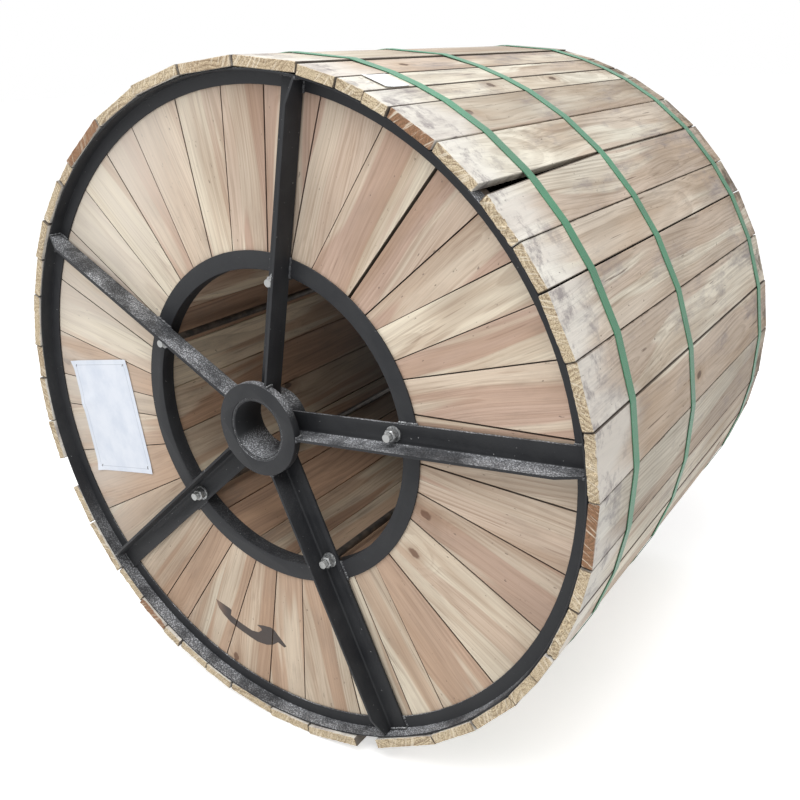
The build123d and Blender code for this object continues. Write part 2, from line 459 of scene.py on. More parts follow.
def weatherEnds(tree, colour, spot, depth, drift, look):
    reach = doMath(tree, "MULTIPLY_ADD", drift, 0.30, -0.44)
    pale = remap(tree, doMath(tree, "SUBTRACT", reach, depth), 0.0, 0.10)
    colour = layer(tree, colour, pale, 0.62, look["bleached"])
    clouds = noise(tree, spot, 21.0, 6.0, 0.74)
    near = remap(tree, depth, -0.27, -0.40)
    colour = layer(tree, colour, remap(tree, clouds, 0.50, 0.66, 0.0, 0.75), near, look["smudge"])
    far = remap(tree, depth, 0.30, 0.41)
    return layer(tree, colour, remap(tree, clouds, 0.44, 0.62, 0.06, 0.85), far, look["soil"])


# sawn end grain: pale or brown by the board, with rough open pores

def cutEnds(tree, place, tone, marks, look):
    parts = split(tree, doVector(tree, "MULTIPLY", place, (260.0, 40.0, 150.0)))
    slant = addNode(tree, "ShaderNodeCombineXYZ", X=doMath(tree, "ADD", parts[0], parts[2]),
                    Y=parts[1], Z=times(tree, parts[2], 0.15)).outputs[0]
    saw = noise(tree, slant, 1.0, 3.0, 0.7)
    pores = noise(tree, place, 620.0, 3.0, 0.75)
    cut = mixColours(tree, remap(tree, tone, 0.06, 0.62), look["endDark"], look["endPale"])
    cut = layer(tree, cut, marks["Rings"], 0.60, look["endLate"])
    cut = mixColours(tree, remap(tree, pores, 0.46, 0.60, 0.0, 0.72), cut, look["endLate"])
    return mixColours(tree, remap(tree, saw, 0.53, 0.66, 0.0, 0.6), cut, look["endWhite"])


flangeTimber = timberMaterial("flangeTimber", {
    "sapwood": tint(217, 206, 186), "heartwood": tint(190, 163, 140), "brown": tint(163, 134, 110),
    "rosy": tint(187, 161, 144), "dusty": 0.55, "deep": 0.0,
    "late": tint(136, 108, 88), "knot": tint(98, 68, 52), "smudge": tint(136, 121, 108),
    "ringSpacing": 0.0050, "heartRadius": 0.062, "knots": 0.12, "rings": 0.26, "fibres": 0.08,
    "streaks": 0.38, "bands": 0.62, "lines": 0.24, "cracks": 0.35, "seams": 0.72, "drift": 0.62,
    "darkest": 0.84, "palest": 1.03, "weathered": False, "grime": 0.34, "rough": 0.70, "relief": 0.35})

barrelTimber = timberMaterial("barrelTimber", {
    "sapwood": tint(216, 202, 178), "heartwood": tint(182, 150, 124), "brown": tint(140, 114, 96),
    "rosy": tint(162, 134, 116), "dusty": 0.0, "deep": 0.84,
    "late": tint(100, 80, 70), "knot": tint(66, 50, 42), "smudge": tint(118, 110, 102),
    "ringSpacing": 0.0066, "heartRadius": 0.062, "knots": 0.10, "rings": 0.28, "fibres": 0.07,
    "streaks": 0.4, "bands": 0.7, "lines": 0.2, "cracks": 0.4, "seams": 0.0, "drift": 0.6,
    "darkest": 0.66, "palest": 1.12, "weathered": False, "grime": 0.5, "rough": 0.7, "relief": 0.30})

laggingTimber = timberMaterial("laggingTimber", {
    "sapwood": tint(228, 222, 206), "heartwood": tint(205, 191, 170), "brown": tint(170, 147, 124),
    "rosy": tint(200, 184, 168),
    "late": tint(128, 109, 90), "knot": tint(84, 64, 52), "smudge": tint(132, 124, 126),
    "ringSpacing": 0.0056, "heartRadius": 0.062, "knots": 0.08, "rings": 0.26, "fibres": 0.09,
    "streaks": 0.46, "bands": 0.75, "lines": 0.24, "cracks": 0.7, "seams": 0.85, "drift": 0.70,
    "darkest": 0.82, "palest": 1.05, "weathered": True, "grime": 0.80, "rough": 0.76, "relief": 0.7,
    "bleached": tint(232, 230, 224), "soil": tint(82, 70, 54), "endPale": tint(206, 190, 160),
    "endDark": tint(150, 113, 86), "endLate": tint(104, 80, 58), "endWhite": tint(230, 220, 200)})


# other finishes

def steelMaterial(name, look):
    material, tree, shader = newMaterial(name)
    spot = addNode(tree, "ShaderNodeTexCoord").outputs
    wornAndSheen = useGroup(tree, paintWearAndSheen, **{
        "Place": spot["Object"], "Up": split(tree, spot["Normal"])[2], "Colour": look["paint"],
        "Dust Sheen Colour": look["dustSheenColour"], "Dust": look["dust"]})
    shader.inputs["Specular IOR Level"].default_value = look["shine"]
    dress(tree, shader, wornAndSheen["Colour"], wornAndSheen["Roughness"], look["relief"], 0.0005, wornAndSheen["Height"])
    return material


# the pale dust on the upward faces is in part a painted sheen; the low-dust paint carries less of it
charcoalPaint = steelMaterial("charcoalPaint", {
    "paint": tint(33, 34, 37), "dustSheenColour": tint(188, 190, 194), "dust": 1.0,
    "relief": 0.45, "shine": 0.26})
lowDustSheenPaint = steelMaterial("lowDustSheenPaint", {
    "paint": tint(33, 34, 37), "dustSheenColour": tint(150, 152, 156), "dust": 0.22,
    "relief": 0.45, "shine": 0.26})
# the weld beads get a lighter, shinier paint than the frame, a painted highlight along the seams
weldPaint = steelMaterial("weldPaint", {
    "paint": tint(58, 59, 62), "dustSheenColour": tint(206, 208, 210), "dust": 1.0,
    "relief": 0.8, "shine": 0.5})


def zincMaterial():
    material, tree, shader = newMaterial("zinc")
    spot = objectSpot(tree)
    flakes = noise(tree, spot, 340.0, 3.0, 0.6)
    colour = mixColours(tree, remap(tree, flakes, 0.35, 0.65), tint(112, 114, 116), tint(176, 177, 176))
    shader.inputs["Metallic"].default_value = 0.65
    dress(tree, shader, colour, remap(tree, flakes, 0.3, 0.7, 0.28, 0.46, False), 0.3, 0.0003, flakes)
    return material


def rodMaterial():
    look = {"threadStart": 0.404, "pitch": 0.00175}
    material, tree, shader = newMaterial("rodSteel")
    spot = objectSpot(tree)
    along = split(tree, spot)[1]
    ends = remap(tree, doMath(tree, "ABSOLUTE", along),
                 look["threadStart"] - 0.0005, look["threadStart"] + 0.0005)
    scale = noise(tree, spot, 60.0, 4.0, 0.6)
    dull = mixColours(tree, remap(tree, scale, 0.35, 0.65), tint(62, 60, 58), tint(96, 88, 80))
    colour = mixColours(tree, ends, dull, tint(158, 159, 158))
    feed(tree, shader.inputs["Metallic"], doMath(tree, "MULTIPLY_ADD", ends, 0.5, 0.35))
    thread = doMath(tree, "SINE", times(tree, along, 2 * math.pi / look["pitch"]))
    dress(tree, shader, colour, 0.42, 0.9, 0.0006, times(tree, thread, ends))
    return material


def strapMaterial():
    look = {"radius": 0.541, "knurls": 1900.0}
    material, tree, shader = newMaterial("greenStrap")
    spot = objectSpot(tree)
    sides = split(tree, spot)
    around = times(tree, doMath(tree, "ARCTAN2", sides[2], sides[0]), look["radius"])
    waves = [doMath(tree, "SINE", times(tree, doMath(tree, kind, around, sides[1]), look["knurls"]))
             for kind in ("ADD", "SUBTRACT")]
    cloud = noise(tree, spot, 9.0, 4.0, 0.6)
    colour = mixColours(tree, remap(tree, cloud, 0.35, 0.68), tint(56, 116, 84), tint(70, 134, 100))
    # painted highlight: the straps turn paler green toward the top of the drum, where the light falls
    colour = layer(tree, colour, remap(tree, sides[2], 0.30, 0.54), 0.45, tint(122, 176, 150))
    scuff = remap(tree, noise(tree, spot, 160.0, 3.0, 0.7), 0.66, 0.74)
    colour = layer(tree, colour, scuff, 0.35, tint(186, 214, 198))
    dress(tree, shader, colour, remap(tree, cloud, 0.3, 0.7, 0.34, 0.5, False),
          0.35, 0.0004, doMath(tree, "MAXIMUM", *waves))
    return material


def paperMaterial(name, look):
    material, tree, shader = newMaterial(name)
    spot = addNode(tree, "ShaderNodeUVMap", {"uv_map": "UVMap"}).outputs[0]
    soft = noise(tree, spot, 3.5, 4.0, 0.6)
    colour = mixColours(tree, remap(tree, soft, 0.35, 0.7), look["sheet"], look["shade"])
    if look["frame"]:       # a thin printed line inside the sheet's edge
        lines, insides = [], []
        for part, (low, high, end) in zip(split(tree, spot), look["frame"]):
            reach = doMath(tree, "ABSOLUTE", doMath(tree, "SUBTRACT", part, 0.5))
            insides.append(doMath(tree, "LESS_THAN", reach, end))
            lines.append(remap(tree, reach, low, high))
        line = times(tree, doMath(tree, "MAXIMUM", *lines), times(tree, *insides))
        colour = layer(tree, colour, line, 0.35, tint(120, 128, 142))
    dress(tree, shader, colour, 0.55, 0.15, 0.0002, noise(tree, spot, 90.0, 3.0, 0.6))
    return material


def jacketMaterial():
    look = {"cable": 0.011}
    material, tree, shader = newMaterial("cableJacket")
    spot = objectSpot(tree)
    along = split(tree, spot)[1]
    turns = doMath(tree, "ABSOLUTE", doMath(tree, "SINE", times(tree, along, math.pi / look["cable"])))
    dust = noise(tree, spot, 14.0, 4.0, 0.6)
    colour = mixColours(tree, remap(tree, dust, 0.4, 0.75), tint(24, 24, 25), tint(52, 50, 48))
    dress(tree, shader, colour, 0.45, 1.0, 0.005, turns)
    return material


def arrowMaterial():
    material, tree, shader = newMaterial("arrowPaint")
    spot = objectSpot(tree)
    thin = noise(tree, spot, 45.0, 5.0, 0.65)
    colour = mixColours(tree, remap(tree, thin, 0.58, 0.76, 0.0, 0.35), tint(58, 49, 45), tint(110, 90, 76))
    faded = remap(tree, split(tree, spot)[0], -0.146, -0.176, 0.0, 0.65)
    colour = mixColours(tree, faded, colour, tint(134, 108, 92))
    dress(tree, shader, colour, 0.62, 0.3, 0.0003, thin)
    return material


zinc = zincMaterial()
rodSteel = rodMaterial()
greenStrap = strapMaterial()
sheetPaper = paperMaterial("sheetPaper", {
    "sheet": tint(217, 222, 231), "shade": tint(203, 210, 222),
    "frame": ((0.437, 0.440, 0.446), (0.455, 0.457, 0.461))})
tagPaper = paperMaterial("tagPaper", {
    "sheet": tint(246, 248, 249), "shade": tint(238, 240, 242), "frame": None})
cableJacket = jacketMaterial()
arrowPaint = arrowMaterial()
print("materials built")


# boards: each one gets a place along its own grain, from its own cut of a log

def markGrain(piece, along, across, tone, cut):
    through = along.cross(across)
    middle = middleOf(piece)
    places = []
    for vertex in piece.data.vertices:
        offset = vertex.co - middle
        places += [offset.dot(across) + cut[0], offset.dot(along) + cut[1], offset.dot(through) + cut[2]]
    attribute = piece.data.attributes.new("grainPlace", "FLOAT_VECTOR", "POINT")
    attribute.data.foreach_set("vector", places)
    attribute = piece.data.attributes.new("boardTone", "FLOAT", "POINT")
    attribute.data.foreach_set("value", [tone] * len(piece.data.vertices))


# a board is cream, pale, tan or brown, or cream along its low or its high side:
# where each kind lay across and through the log, and its tone

cutLook = {
    "c": (0.0, 0.105, 0.80), "p": (0.0, 0.022, 0.98), "t": (0.0, 0.022, 0.50),
    "b": (0.0, 0.018, 0.06), "l": (-0.045, 0.020, 0.62), "h": (0.045, 0.020, 0.62),
    "spread": {"across": 0.009, "through": 0.006, "along": 9, "tone": 0.09},
}


def logCut(kind, chance):
    across, through, tone = cutLook[kind]
    spread = cutLook["spread"]
    across += chance.uniform(-spread["across"], spread["across"])
    side = chance.choice((-1, 1))
    through = side * (through + chance.uniform(-spread["through"], spread["through"]))
    along = chance.uniform(0, spread["along"])
    return (across, along, through), tone + chance.uniform(-spread["tone"], spread["tone"])


flangeLook = {
    "seed": 11,
    "edge": 0.0004,
    "kinds": "tplctlllthcppccpcptttltbllthcctcbl",    # from 0 degrees up
    "shrunk": 0.0007,       # most that a board has drawn back from its seams
    "sunk": 0.0005,
    # one seam stands open, at these angles by the rim and by the inner ring
    "open": {"rim": 52, "ring": 53.5, "split": 0.4, "near": 0.8, "wide": 0.0015},
}


def makeFlangeBoards(node, name, kinds, chance):
    look, gap = flangeLook, flangeLook["open"]
    boards = looseParts(mergedCopy(node, name))
    for board, kind in zip(boards, kinds):
        middle = middleOf(board)
        turn = angleOf(middle)
        along = Vector((math.cos(turn), 0, math.sin(turn)))
        across = Vector((-math.sin(turn), 0, math.cos(turn)))
        drawn = look["shrunk"] * chance.choice((0, 0.2, 0.4, 1))
        sunk = chance.uniform(0, look["sunk"]) * (1 if middle.y < 0 else -1)
        for vertex in board.data.vertices:
            side = (vertex.co - middle).dot(across)
            seam = gap["rim" if math.hypot(vertex.co.x, vertex.co.z) > gap["split"] else "ring"]
            atSeam = abs(math.degrees(angleOf(vertex.co)) - seam) < gap["near"]
            opened = gap["wide"] if atSeam else 0
            vertex.co -= across * math.copysign(drawn + opened, side)
            vertex.co.y += sunk
        cut, tone = logCut(kind, chance)
        markGrain(board, along, across, tone, cut)
    whole = joinPieces(boards, name)
    bevelEdges(whole, look["edge"], 2, 40)
    finishPiece(whole, flangeTimber, "flange_timber", node)
    return whole


def otherKinds(count, chance):
    return "".join(chance.choice("cctttpphlb") for index in range(count))


boardChance = random.Random(flangeLook["seed"])
frontBoards = makeFlangeBoards("front_flange_boards", "frontFlangeBoards", flangeLook["kinds"], boardChance)
otherBoards = otherKinds(len(flangeLook["kinds"]), boardChance)
makeFlangeBoards("back_flange_boards", "backFlangeBoards", otherBoards, boardChance)
print("flange boards made")


staveLook = {"seed": 5, "edge": 0.0012, "count": 20}


def makeStaves():
    chance = random.Random(staveLook["seed"])
    staves = looseParts(mergedCopy("barrel_staves", "barrelStaves"))
    for stave, kind in zip(staves, otherKinds(staveLook["count"], chance)):
        turn = angleOf(middleOf(stave))
        across = Vector((-math.sin(turn), 0, math.cos(turn)))
        cut, tone = logCut(kind, chance)
        markGrain(stave, Vector((0, 1, 0)), across, tone, cut)
    whole = joinPieces(staves, "barrelStaves")
    bevelEdges(whole, staveLook["edge"], 2, 40)
    finishPiece(whole, barrelTimber, "barrel_timber", "barrel_staves")


makeStaves()
print("barrel staves made")


battenLook = {
    "seed": 23,
    "kinds": "pphctcbccpt",     # from 0 degrees up, and then as they come
    "lastKinds": "ptptb",
    "column": 0.0036,       # spacing of the cuts across a batten
    "rows": 9,
    "layers": 4,
    "edge": 0.0010,
    "sunk": 0.0006,         # most that a batten lies below the next one
    "lean": (0.7, 1.05),    # share of the way that the sides lean out to the next battens
    "tilt": 0.3,            # degrees
    "ragged": 0.0075, "raggedGrain": 0.0055, "endDepth": 0.002,
    "waver": 0.0012, "waverLength": 0.13,
    "splintered": [339, 6.5, 40],    # angles whose front ends are splintered most
    "plainShare": 0.38,     # of the splintering, for all other ends
    "wedge": {"angle": 39.75, "wide": 0.0125, "from": -0.42, "to": -0.06},
}


# the sides lean out to the next battens, and beside the bare stretch one side tapers

def widenBatten(batten, turn, width, thick, inner, chance):
    look = battenLook
    half = width / 2
    lean = thick * half / inner * chance.uniform(*look["lean"])
    wedge = look["wedge"]
    tapered = abs(math.degrees(turn) - wedge["angle"]) < 1
    for vertex in batten.data.vertices:
        side = vertex.co.x / half
        vertex.co.x += side * lean * vertex.co.z / thick
        if tapered and side < 0:
            share = (vertex.co.y - wedge["from"]) / (wedge["to"] - wedge["from"])
            vertex.co.x += side * wedge["wide"] * min(1, max(0, share))


# each long side is dark by its own share

def markSides(batten, chance):
    sides = [0.0] * len(batten.data.vertices)
    dark = {side: chance.choice((0.66, 0.80, 1.0)) for side in (False, True)}
    for face in batten.data.polygons:
        if abs(face.normal.x) > 0.5:
            for index in face.vertices:
                sides[index] = dark[face.normal.x > 0]
    attribute = batten.data.attributes.new("boardEdge", "FLOAT", "POINT")
    attribute.data.foreach_set("value", sides)


def makeBatten(shape, kind, chance):
    look = battenLook
    turn, width, thick, inner, front, back = shape
    columns = max(8, round(width / look["column"]))
    batten = newSheet(columns, look["rows"], (width, back - front))
    editAll(batten)
    step = thick / look["layers"]
    for index in range(look["layers"]):
        bpy.ops.mesh.extrude_region_move(TRANSFORM_OT_translate={"value": (0, 0, step)})
    bpy.ops.mesh.select_all(action="SELECT")
    bpy.ops.mesh.normals_make_consistent(inside=False)
    leaveEdit()
    widenBatten(batten, turn, width, thick, inner, chance)
    bevelEdges(batten, look["edge"], 1, 60)
    cut, tone = logCut(kind, chance)
    markGrain(batten, Vector((0, 1, 0)), Vector((1, 0, 0)), tone, cut)
    markSides(batten, chance)
    ends = batten.vertex_groups.new(name="ends")
    half = (back - front) / 2
    apart = [(math.degrees(turn) - angle + 180) % 360 - 180 for angle in look["splintered"]]
    splintered = min(map(abs, apart)) < 5
    for vertex in batten.data.vertices:
        if abs(vertex.co.y) > half - look["endDepth"]:
            share = 1.0 if splintered and vertex.co.y < 0 else look["plainShare"]
            ends.add([vertex.index], share, "REPLACE")
    tilt = math.pi / 2 - turn + math.radians(chance.uniform(-look["tilt"], look["tilt"]))
    depth = inner - chance.uniform(0, look["sunk"])
    moveMesh(batten, (0, tilt, 0), (math.cos(turn) * depth, front + half, math.sin(turn) * depth))
    return batten


# angle, width, thickness, inner radius, front and back of each packed batten

def measureBattens():
    shapes = []
    for part in looseParts(mergedCopy("lagging_battens", "battenMeasure")):
        turn = angleOf(middleOf(part))
        out = Vector((math.cos(turn), 0, math.sin(turn)))
        side = Vector((-math.sin(turn), 0, math.cos(turn)))
        outs = [vertex.co.dot(out) for vertex in part.data.vertices]
        sides = [vertex.co.dot(side) for vertex in part.data.vertices]
        depths = [vertex.co.y for vertex in part.data.vertices]
        width, thick = max(sides) - min(sides), max(outs) - min(outs)
        shapes.append((turn, width, thick, min(outs), min(depths), max(depths)))
        bpy.data.objects.remove(part)
    return shapes


def makeBattens():
    look = battenLook
    chance = random.Random(look["seed"])
    shapes = measureBattens()
    unseen = len(shapes) - len(look["kinds"]) - len(look["lastKinds"])
    kinds = look["kinds"] + otherKinds(unseen, chance) + look["lastKinds"]
    battens = [makeBatten(shape, kind, chance) for shape, kind in zip(shapes, kinds)]
    whole = joinPieces(battens, "laggingBattens")
    coarse = bpy.data.textures.new("raggedEnds", "CLOUDS")
    coarse.noise_scale = look["raggedGrain"]
    coarse.noise_depth = 3
    broad = bpy.data.textures.new("battenWaver", "CLOUDS")
    broad.noise_scale = look["waverLength"]
    applyModifier(whole, "DISPLACE", texture=coarse, texture_coords="GLOBAL", direction="Y",
                  strength=look["ragged"], mid_level=0.5, vertex_group="ends")
    applyModifier(whole, "DISPLACE", texture=broad, texture_coords="GLOBAL", direction="NORMAL",
                  strength=look["waver"], mid_level=0.75)
    smoothPiece(whole, 28)
    finishPiece(whole, laggingTimber, "lagging_timber", "lagging_battens")


makeBattens()
print("lagging battens made")


# steel frames: each rolled or cut piece gets its worn edges

steelLook = {"edge": 0.0012, "ringEdge": 0.0011}


def makeSteel(node, paint):
    words = node.split("_")
    name = words[0] + "".join(word.capitalize() for word in words[1:])
    piece = mergedCopy(node, name)
    width = steelLook["ringEdge"] if "ring" in words else steelLook["edge"]
    bevelEdges(piece, width, 2, 35)
    smoothPiece(piece, 30)
    finishPiece(piece, paint, "charcoal_steel", node)


# rims, hubs and spokes 1 and 3 get the strong pale dust and painted sheen on their upward faces, the inner
# rings and other spokes only a little
for end in ("front", "back"):
    for part in ("rim_ring", "hub_pipe", "hub_plate", "spoke_1", "spoke_3"):
        makeSteel(f"{end}_{part}", charcoalPaint)
    for part in ("inner_ring", "spoke_2", "spoke_4", "spoke_5"):
        makeSteel(f"{end}_{part}", lowDustSheenPaint)
print("steel frames made")


# weld beads, as rows of overlapping drops of metal

weldLook = {
    "seed": 3, "step": 0.0026, "size": 0.0027, "vary": (0.82, 1.12), "wobble": 0.0004,
    "spokeAngles": [4.5, 79, 151, 221, 293],
    "heel": -0.011, "edge": 0.024, "iron": 0.004,       # section of a spoke
    "face": 0.400,          # front of the flat legs of both rings
    "ring": (0.240, 0.268), "rim": (0.503, 0.5218),
    "lip": (0.5208, 0.5201), "lipDepth": 0.020,
    "plate": 0.0742, "plateDepths": (0.423, 0.4335),
    "pipe": 0.0490, "pipeDepth": 0.434, "pipeBeads": 100, "pipeSize": (0.0021, 0.0029),
}


def beadRow(start, end, drop, chance):
    look = weldLook
    start, end = Vector(start), Vector(end)
    count = max(2, round((end - start).length / look["step"]))
    drops = []
    for index in range(count + 1):
        bead = twinOf(drop)
        wobble = Vector([chance.uniform(-look["wobble"], look["wobble"]) for axis in range(3)])
        bead.location = start.lerp(end, index / count) + wobble
        bead.scale = [look["size"] * chance.uniform(*look["vary"])] * 3
        drops.append(bead)
    return drops


def spokeWelds(angle, drop, chance):
    look = weldLook
    face, heel, edge, iron = -look["face"], look["heel"], look["edge"], look["iron"]
    lines = [((inner, face, side), (outer, face, side))
             for inner, outer in (look["ring"], look["rim"]) for side in (heel, edge)]
    lip, lipEnd = look["lip"]
    lines.append(((lip, face - iron, heel + 0.003), (lipEnd, face - iron, edge)))
    lines.append(((lip, face, heel), (lip, face - look["lipDepth"], heel)))
    back, front = look["plateDepths"]
    for side in (heel, heel + iron):
        lines.append(((look["plate"], -back, side), (look["plate"], -front, side)))
    drops = []
    for start, end in lines:
        drops += beadRow(start, end, drop, chance)
    turn = Matrix.Rotation(-math.radians(angle), 4, "Y")
    for bead in drops:
        bead.location = turn @ bead.location
    return drops


def makeWelds(name, mirrored):
    look = weldLook
    chance = random.Random(look["seed"])
    clearSelection()
    bpy.ops.mesh.primitive_uv_sphere_add(segments=8, ring_count=5, radius=1)
    drop = bpy.context.object
    drops = []
    for angle in look["spokeAngles"]:
        drops += spokeWelds(angle, drop, chance)
    for index in range(look["pipeBeads"]):
        turn = 2 * math.pi * index / look["pipeBeads"]
        bead = twinOf(drop)
        reach = look["pipe"] + chance.uniform(-look["wobble"], look["wobble"])
        bead.location = (math.cos(turn) * reach, -look["pipeDepth"], math.sin(turn) * reach)
        bead.scale = [chance.uniform(*look["pipeSize"])] * 3
        drops.append(bead)
    bpy.data.objects.remove(drop)
    whole = joinPieces(drops, name)
    placeIntoMesh(whole)
    if mirrored:
        moveMesh(whole, scale=(1, -1, 1))
        editAll(whole)
        bpy.ops.mesh.normals_make_consistent(inside=False)
        leaveEdit()
    makeActive(whole)
    bpy.ops.object.shade_smooth()
    finishPiece(whole, weldPaint, "charcoal_steel")


makeWelds("frontWelds", False)
makeWelds("backWelds", True)
print("welds made")


# nuts and washers of the tie rods

nutLook = {
    "flats": 0.018, "tall": 0.0108, "bore": 0.0062, "edge": 0.0003,
    "chamfer": (0.0095, -0.0012),       # the cone's radii at its two ends, past the flats
}


def nutShape():
    look = nutLook
    half = look["flats"] / 2
    clearSelection()
    bpy.ops.mesh.primitive_cylinder_add(vertices=6, radius=look["flats"] / math.sqrt(3), depth=look["tall"],
                                        end_fill_type="NGON")
    nut = bpy.context.object
    bpy.ops.mesh.primitive_cylinder_add(vertices=32, radius=look["bore"], depth=0.03)
    bore = bpy.context.object
    applyModifier(nut, "BOOLEAN", operation="DIFFERENCE", object=bore, solver="EXACT")
    wide, narrow = [half + past for past in look["chamfer"]]
    bpy.ops.mesh.primitive_cone_add(vertices=48, radius1=wide, radius2=narrow, depth=look["tall"])
    cone = bpy.context.object
    applyModifier(nut, "BOOLEAN", operation="INTERSECT", object=cone, solver="EXACT")
    bevelEdges(nut, look["edge"], 1, 25)
    bpy.data.objects.remove(bore)
    bpy.data.objects.remove(cone)
    return nut


def makeNuts():
    nuts = []
    for part in looseParts(mergedCopy("tie_rod_nuts", "nutMeasure")):
        middle = middleOf(part)
        depths = [vertex.co.y for vertex in part.data.vertices]
        centre = Vector((middle.x, (min(depths) + max(depths)) / 2, middle.z))
        reaches = [vertex.co - centre for vertex in part.data.vertices]
        corner = max(reaches, key=lambda reach: Vector((reach.x, 0, reach.z)).length)
        bpy.data.objects.remove(part)
        nut = nutShape()
        moveMesh(nut, (-math.copysign(math.pi / 2, centre.y), 0, 0))
        moveMesh(nut, (0, math.pi / 6 - angleOf(corner), 0), centre)
        nuts.append(nut)
    whole = joinPieces(nuts, "tieRodNuts")
    smoothPiece(whole, 25)
    finishPiece(whole, zinc, "zinc", "tie_rod_nuts")


washerLook = {"edge": 0.0004}


def makeWashers():
    whole = mergedCopy("tie_rod_washers", "tieRodWashers")
    bevelEdges(whole, washerLook["edge"], 2, 35)
    smoothPiece(whole, 30)
    finishPiece(whole, zinc, "zinc", "tie_rod_washers")


makeNuts()
makeWashers()
print("nuts and washers made")


# papers

sheetLook = {
    "size": (0.148, 0.210), "cells": (24, 34), "thick": 0.0002, "proud": 0.0009, "turn": 9,
    "wave": 0.00055, "fold": 0.0022, "curl": 0.0035,        # heights
    "foldPlace": 0.042, "foldSlope": 0.25, "foldWidth": 0.010,
    "curlFrom": (0.058, 0.088),
}


# from flat on the ground to flat against the flange

def hangOnFlange(piece, place):
    moveMesh(piece, (math.pi / 2, 0, 0))
    moveMesh(piece, (0, -math.radians(sheetLook["turn"]), 0), place)


def makeSheet():
    look = sheetLook
    low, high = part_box("label_sheet")
    place = ((low.x + high.x) / 2, high.y, (low.z + high.z) / 2)
    sheet = newSheet(*look["cells"], look["size"])
    wide, tall = look["size"][0] / 2, look["size"][1] / 2
    curlX, curlY = look["curlFrom"]
    for vertex in sheet.data.vertices:
        x, y = vertex.co.x, vertex.co.y
        wave = look["wave"] * math.sin(26 * y + 1.2) * math.cos(18 * x)
        crease = (y - look["foldPlace"] - look["foldSlope"] * x) / look["foldWidth"]
        fold = look["fold"] * math.exp(-crease ** 2) * max(0, -x / wide)
        curl = max(0, (abs(x) - curlX) / (wide - curlX)) * max(0, (abs(y) - curlY) / (tall - curlY))
        vertex.co.z = look["proud"] + wave + fold + look["curl"] * curl * (0.4 if x > 0 else 1)
    applyModifier(sheet, "SOLIDIFY", thickness=look["thick"], offset=1)
    hangOnFlange(sheet, place)
    sheet.name = sheet.data.name = "labelSheet"
    smoothPiece(sheet, 40)
    finishPiece(sheet, sheetPaper, "paper", "label_sheet")
    makeStaples(place)


stapleLook = {
    "size": (0.0065, 0.0009, 0.0006), "bend": 0.003, "legs": 0.0010, "edge": 0.00015, "proud": 0.0018,
    "places": ((-0.064, 0.096, 70), (0.063, 0.095, 40), (-0.062, -0.096, 60), (0.064, -0.094, 85)),
}


def makeStaples(place):
    look = stapleLook
    staples = []
    for x, y, turn in look["places"]:
        clearSelection()
        bpy.ops.mesh.primitive_cube_add(size=1)
        staple = bpy.context.object
        moveMesh(staple, scale=look["size"])
        editAll(staple)
        bpy.ops.mesh.subdivide(number_cuts=2)
        leaveEdit()
        for vertex in staple.data.vertices:
            if abs(vertex.co.x) > look["bend"]:
                vertex.co.z -= look["legs"]
        applyModifier(staple, "BEVEL", width=look["edge"], segments=1)
        moveMesh(staple, (0, 0, math.radians(turn)), (x, y, look["proud"]))
        staples.append(staple)
    whole = joinPieces(staples, "sheetStaples")
    hangOnFlange(whole, place)
    finishPiece(whole, rodSteel, "rod_steel")


tagLook = {"size": (0.042, 0.056), "cells": (12, 12), "thick": 0.0003, "proud": 0.0002, "curl": 0.0016}


def makeTag():
    look = tagLook
    low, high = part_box("paper_tag")
    centre = (low + high) / 2
    turn = math.atan2(centre.z, centre.x)
    reach = math.hypot(centre.x, centre.z)
    tag = newSheet(*look["cells"], look["size"])
    half = look["size"][1] / 2
    for vertex in tag.data.vertices:
        vertex.co.z = look["proud"] + look["curl"] * max(0, -vertex.co.y / half) ** 2
    applyModifier(tag, "SOLIDIFY", thickness=look["thick"], offset=1)
    moveMesh(tag, (0, math.pi / 2 - turn, 0), (math.cos(turn) * reach, centre.y, math.sin(turn) * reach))
    tag.name = tag.data.name = "paperTag"
    finishPiece(tag, tagPaper, "paper", "paper_tag")


makeSheet()
makeTag()
print("papers made")


# stencilled arrow that shows which way the drum rolls

arrowLook = {
    "face": 0.397, "cut": 0.002, "proud": 0.00012,
    "points": [
        (-0.1738, -0.3687), (-0.1430, -0.3772), (-0.1384, -0.3799), (-0.1415, -0.3907), (-0.1320, -0.3947),
        (-0.1131, -0.4010), (-0.0942, -0.4059), (-0.0795, -0.4044), (-0.0708, -0.3979), (-0.0720, -0.3942),
        (-0.0811, -0.3903), (-0.0663, -0.3867), (-0.0488, -0.3850), (-0.0414, -0.3879), (-0.0344, -0.3952),
        (-0.0175, -0.4113), (-0.0225, -0.4151), (-0.0359, -0.4094), (-0.0478, -0.4184), (-0.0626, -0.4236),
        (-0.0835, -0.4246), (-0.1024, -0.4199), (-0.1245, -0.4133), (-0.1434, -0.4055), (-0.1588, -0.3950),
        (-0.1691, -0.3842)],
}


